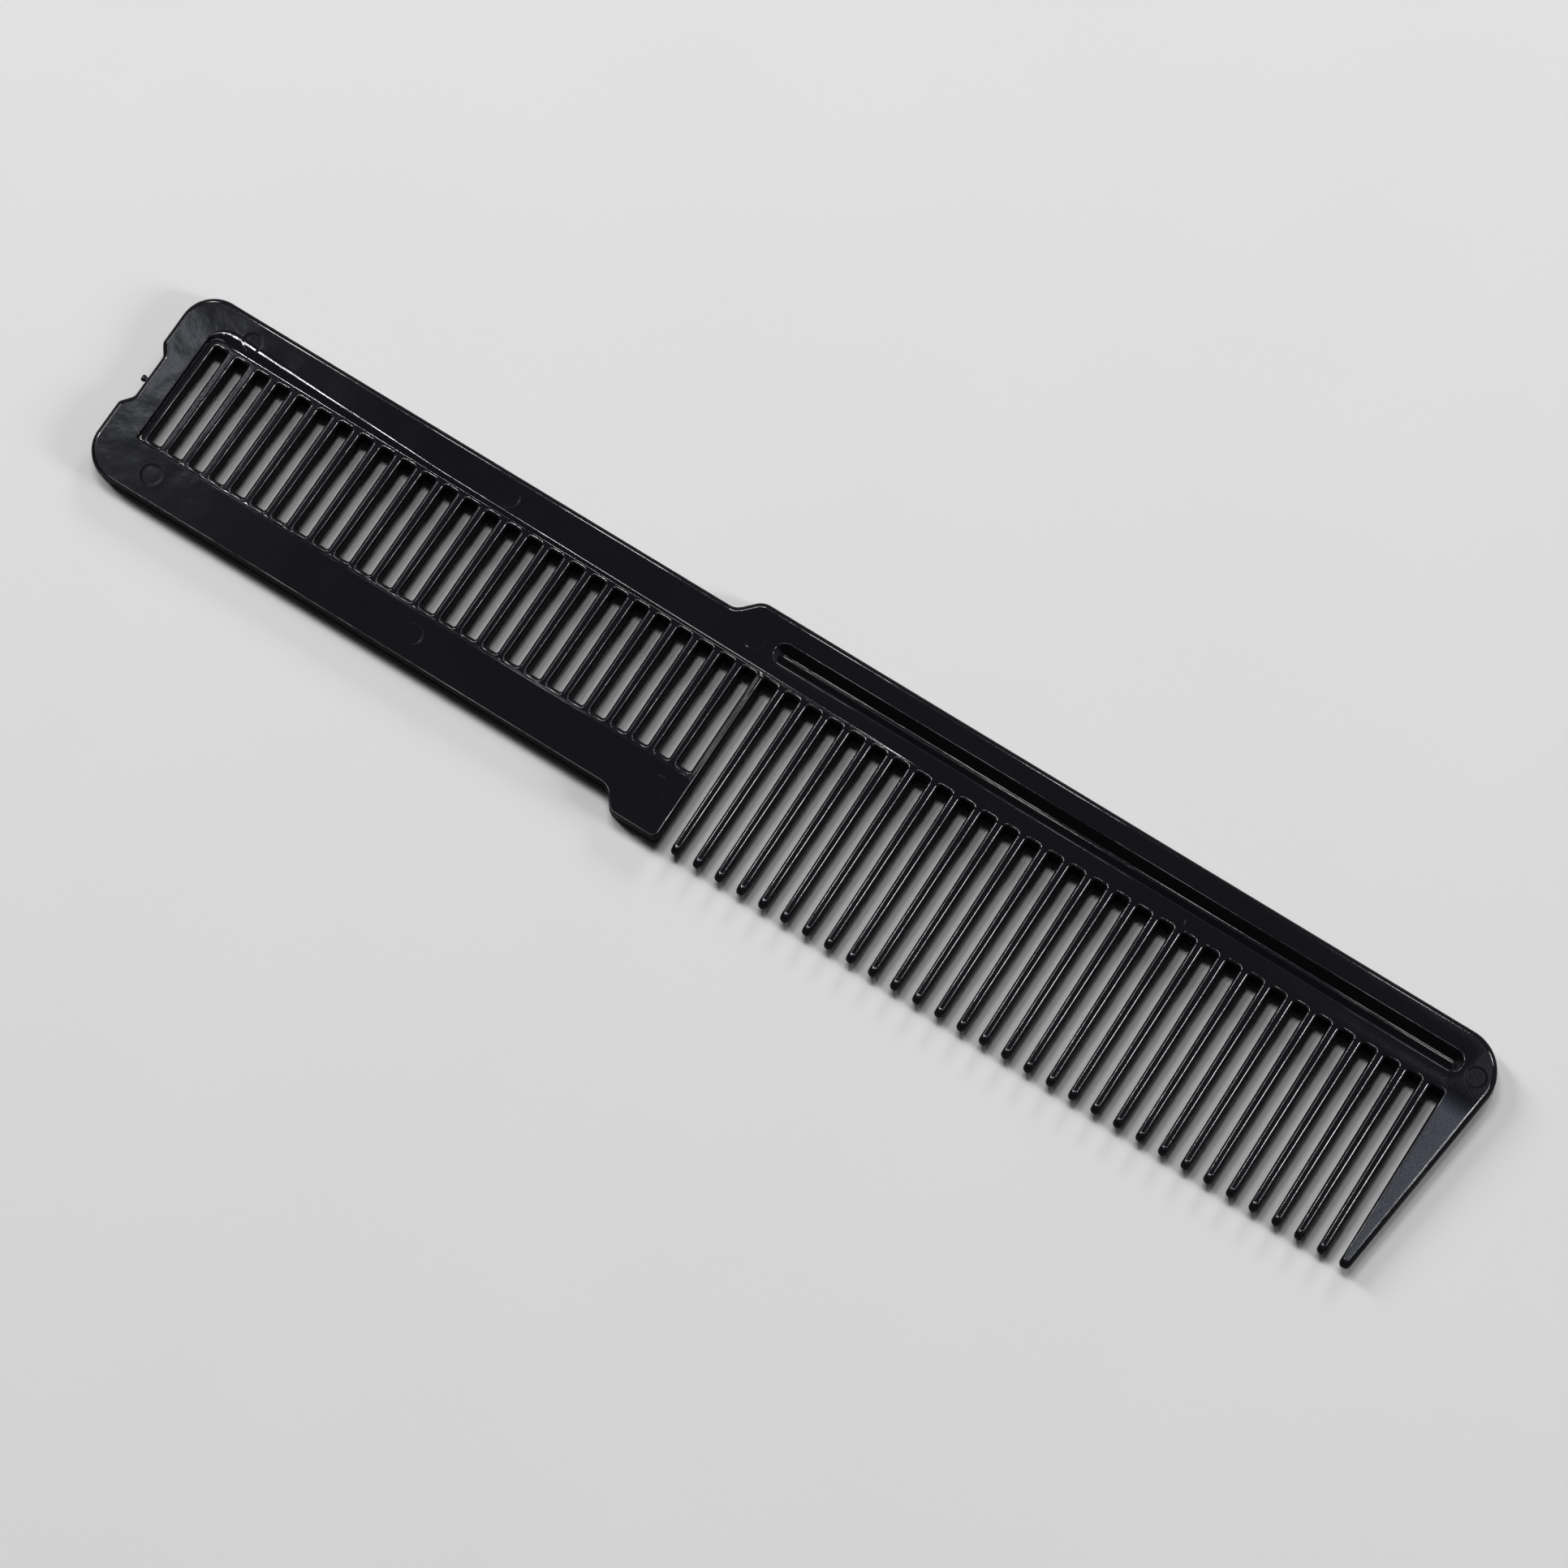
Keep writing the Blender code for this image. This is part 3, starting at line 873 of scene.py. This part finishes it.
# faces that point up or down less than this are walls, and get the satin copy with painted shade
WALL_NORMAL = 0.72
for piece in (comb, nub):
    piece.data.materials.clear()
    piece.data.materials.append(gloss)
    piece.data.materials.append(satin)
for face in comb.data.polygons:
    face.material_index = int(abs(face.normal.z) < WALL_NORMAL)
print("pieces in black ABS:", [piece.name for piece in (comb, nub)])
print("black ABS in linear colour:", [round(value, 4) for value in linear(ABS_BLACK)[:3]])

# %% [markdown]
# ## The table
#
# The comb lies on a plain pale surface. A large plane with a matt, very slightly uneven
# off-white is enough.

# %% Table
TABLE_SIZE = 4.0
TABLE_WHITE = "#e6e6e6"
MOTTLE_MM = 35
MOTTLE_SHARE = (0.97, 1.0)


def pale_table_top():
    """Matt off-white laminate."""
    material = new_material("matt_white_laminate")
    place = add_node(material, "ShaderNodeTexCoord").outputs["Object"]
    mottle = noise(material, place, MOTTLE_MM, 3.0, 0.5)
    tone = remap(material, mottle, 0.0, 1.0, *MOTTLE_SHARE)
    colour = add_node(material, "ShaderNodeMix",
                      {"data_type": "RGBA", "blend_type": "MULTIPLY", "Factor": 1.0,
                       6: linear(TABLE_WHITE)}, {7: tone})
    shader = add_node(material, "ShaderNodeBsdfPrincipled",
                      {"Roughness": 0.9, "Specular IOR Level": 0.1},
                      {"Base Color": colour.outputs[2]})
    add_node(material, "ShaderNodeOutputMaterial", None, {"Surface": shader.outputs["BSDF"]})
    return material


mesh = bmesh.new()
bmesh.ops.create_grid(mesh, x_segments=1, y_segments=1, size=TABLE_SIZE / 2)
table = piece_from("table_top", mesh, sharp_degrees=30)
table.data.materials.append(pale_table_top())
print("table side:", TABLE_SIZE, "m")

# %% [markdown]
# ## Light
#
# Gloss plastic this black hardly shows the light that falls on it. It shows what it mirrors,
# while the table shows only what falls on it. So the scene keeps the two apart. Soft panels
# behind the spine and at both sides light the table and give the short, soft shadow, but the
# plastic doesn't mirror them. Small lamps, thin strips and pale patches of ceiling are only
# mirrored: they make the glints on the rounded edges and the dim sheen of the left end. The
# room between them is nearly black, which keeps the flats black, and it is darkest on the
# tip side, which keeps the groove's upper wall black.

# %% Lights
LAMP_HEIGHT = 1.0
CEILING_HEIGHT = 1.05
CEILING_TINT = "#dde2fa"
ROOM_TINT = "#ebeefa"
# height and depth of a direction in the room between which its brightness changes
WALL_BAND = (0.2, 0.85)
FRONT_BAND = (-0.5, 0.4)


def panel(name, centre, facing, size, radiance, colour="#ffffff"):
    """A soft panel: its middle and size in metres, the way it faces and its brightness."""
    data = bpy.data.lights.new(name, "AREA")
    data.shape = "RECTANGLE"
    data.size, data.size_y = size
    data.energy = radiance * math.pi * size[0] * size[1]
    data.color = linear(colour)[:3]
    light = bpy.data.objects.new(name, data)
    light.rotation_euler = Vector(facing).to_track_quat("-Z", "Y").to_euler()
    light.location = centre
    bpy.context.collection.objects.link(light)
    return light


soft_panels = [
    panel("left_window", (-1.5, 0.34, 0.85), (1, 0, 0), (0.35, 0.8), 21.2),
    panel("left_lantern", (-0.9, 0.75, 1.7), (0, 0, -1), (0.5, 0.5), 17),
    panel("right_window", (1.5, 0.28, 0.6), (-1, 0, 0), (0.3, 0.5), 27.5),
    panel("back_lantern", (-0.3, 0.8, 1.7), (0, 0, -1), (0.3, 0.4), 18.6),
    panel("back_wall", (-0.1, 1.5, 0.7), (0, -1, 0), (0.5, 0.4), 10),
]
for light in soft_panels:
    light.visible_glossy = False

# Each lamp: place on the ceiling in metres, size in metres, brightness.
# These glint along the spine's edge.
RIM_LAMPS = [
    (-0.425, 0.50, 0.026, 0.16, 24), (-0.350, 0.47, 0.018, 0.14, 18),
    (-0.285, 0.50, 0.026, 0.16, 24), (-0.190, 0.47, 0.020, 0.14, 20),
    (-0.095, 0.52, 0.022, 0.14, 18), (0.050, 0.50, 0.026, 0.16, 12),
]
# These glint where the recess bends down.
BEND_LAMPS = [
    (-0.412, 0.02, 0.012, 0.08, 60), (-0.388, 0.00, 0.010, 0.08, 60),
    (-0.350, 0.02, 0.014, 0.08, 60), (-0.322, 0.01, 0.010, 0.07, 60),
    (-0.278, 0.02, 0.014, 0.09, 60), (-0.255, 0.00, 0.010, 0.07, 50),
    (-0.215, -0.04, 0.050, 0.26, 7), (-0.200, 0.01, 0.016, 0.10, 30),
    (-0.145, 0.01, 0.014, 0.10, 25), (-0.100, 0.03, 0.018, 0.10, 20),
    (-0.030, 0.03, 0.020, 0.10, 15), (0.040, 0.05, 0.020, 0.10, 15),
]
# These glint at the two ends and on the right edges of the last teeth.
END_LAMPS = [
    (-0.650, 0.58, 0.100, 0.10, 30), (0.330, 0.58, 0.120, 0.10, 30),
    (-0.750, 0.22, 0.080, 0.02, 70), (0.350, 0.19, 0.120, 0.03, 50),
    (0.360, 0.235, 0.100, 0.01, 50),
]
# Thin strips at both sides glint along the teeth, finely broken by the peel.
STRIPS_Y = (0.160, 0.205, 0.236, 0.270, 0.305)
STRIP_WIDTH = 0.007
strips = [(-0.85, y, 0.62, STRIP_WIDTH, 11) for y in STRIPS_Y]
strips += [(0.48, y, 0.44, STRIP_WIDTH, 14) for y in STRIPS_Y]
mirrored_lamps = RIM_LAMPS + BEND_LAMPS + END_LAMPS + strips
for number, (x, y, width, length, radiance) in enumerate(mirrored_lamps):
    lamp = panel(f"lamp_{number}", (x, y, LAMP_HEIGHT), (0, 0, -1), (width, length), radiance)
    lamp.visible_diffuse = False

# pale patches, one inside the other: middle, size, brightness
CEILING = [
    (-0.30, 0.30, 3.00, 2.40, 0.12), (-0.20, -0.28, 0.90, 0.64, 0.25),
    (-0.24, -0.26, 0.70, 0.48, 0.25), (-0.28, -0.24, 0.50, 0.32, 0.30),
]
for number, (x, y, width, length, radiance) in enumerate(CEILING):
    patch = panel(f"ceiling_{number}", (x, y, CEILING_HEIGHT), (0, 0, -1), (width, length),
                  radiance, CEILING_TINT)
    patch.visible_diffuse = False

# direction as metres along X and Y for one metre up, reach in both, brightness
GLOWS = [
    (-0.400, 0.250, 0.130, 0.200, 0.9),
    (-0.343, 0.251, 0.020, 0.022, 6.0),
    (0.030, 0.290, 0.100, 0.060, 1.5),
]


def room(zenith, horizon, front):
    """A dim room, lighter towards its walls and dark in front, with glows on its ceiling."""
    world = bpy.data.worlds.new("dim_pale_room")
    world.use_nodes = True
    place = add_node(world, "ShaderNodeTexCoord").outputs["Generated"]
    parts = add_node(world, "ShaderNodeSeparateXYZ", None, {"Vector": place})
    up = parts.outputs["Z"]
    spread = add_node(world, "ShaderNodeVectorMath", {"operation": "DIVIDE"}, {0: place, 1: up})
    soft = {"interpolation_type": "SMOOTHSTEP"}
    height = add_node(world, "ShaderNodeMapRange",
                      {**soft, "From Min": WALL_BAND[0], "From Max": WALL_BAND[1],
                       "To Min": horizon, "To Max": zenith}, {"Value": up})
    depth = add_node(world, "ShaderNodeMapRange",
                     {**soft, "From Min": FRONT_BAND[0], "From Max": FRONT_BAND[1],
                      "To Min": front, "To Max": 1.0}, {"Value": parts.outputs["Y"]})
    brightness = add_node(world, "ShaderNodeMath", {"operation": "MULTIPLY"},
                          {0: height.outputs["Result"], 1: depth.outputs["Result"]})
    for x, y, reach_x, reach_y, radiance in GLOWS:
        near = add_node(world, "ShaderNodeMapping",
                        {"Location": (-x / reach_x, -y / reach_y, 0.0),
                         "Scale": (1 / reach_x, 1 / reach_y, 0.0)},
                        {"Vector": spread.outputs["Vector"]})
        fade = add_node(world, "ShaderNodeTexGradient", {"gradient_type": "QUADRATIC_SPHERE"},
                        {"Vector": near.outputs["Vector"]})
        brightness = add_node(world, "ShaderNodeMath", {"operation": "MULTIPLY_ADD", 1: radiance},
                              {0: fade.outputs["Fac"], 2: brightness.outputs["Value"]})
    background = world.node_tree.nodes["Background"]
    background.inputs["Color"].default_value = linear(ROOM_TINT)
    world.node_tree.links.new(brightness.outputs["Value"], background.inputs["Strength"])
    return world


bpy.context.scene.world = room(zenith=0.02, horizon=0.25, front=0.1)
print("soft panels:", len(soft_panels), "mirrored lamps and strips:", len(mirrored_lamps))
print("ceiling patches:", len(CEILING), "glows:", len(GLOWS))

# %% [markdown]
# ## Camera
#
# The camera looks down from the tip side, about 17 degrees off the vertical, with a long
# lens. Its place was worked out from the equal spacing of the teeth, whose lines meet in
# two vanishing points.

# %% Camera
CAMERA_PLACE_MM = (107.48, -150.41, 612.42)
CAMERA_RIGHT = (0.84138, 0.54028, -0.01312)
CAMERA_UP = (-0.51477, 0.80858, 0.28499)
CAMERA_BACK = (0.16458, -0.23303, 0.95844)
SENSOR_MM = 36.0
LENS_MM = 111.8

camera = bpy.data.objects.new("camera", bpy.data.cameras.new("camera"))
camera.data.sensor_width = SENSOR_MM
camera.data.sensor_fit = "HORIZONTAL"
camera.data.lens = LENS_MM
camera.data.clip_start = 0.01
camera.data.clip_end = 20.0
camera.data.dof.use_dof = False
turn = Matrix((CAMERA_RIGHT, CAMERA_UP, CAMERA_BACK)).transposed().to_4x4()
camera.matrix_world = Matrix.Translation(Vector(CAMERA_PLACE_MM) * MM) @ turn
bpy.context.collection.objects.link(camera)
bpy.context.scene.camera = camera
bpy.context.scene.view_settings.view_transform = "Standard"
print("camera height:", round(camera.location.z, 3), "m")
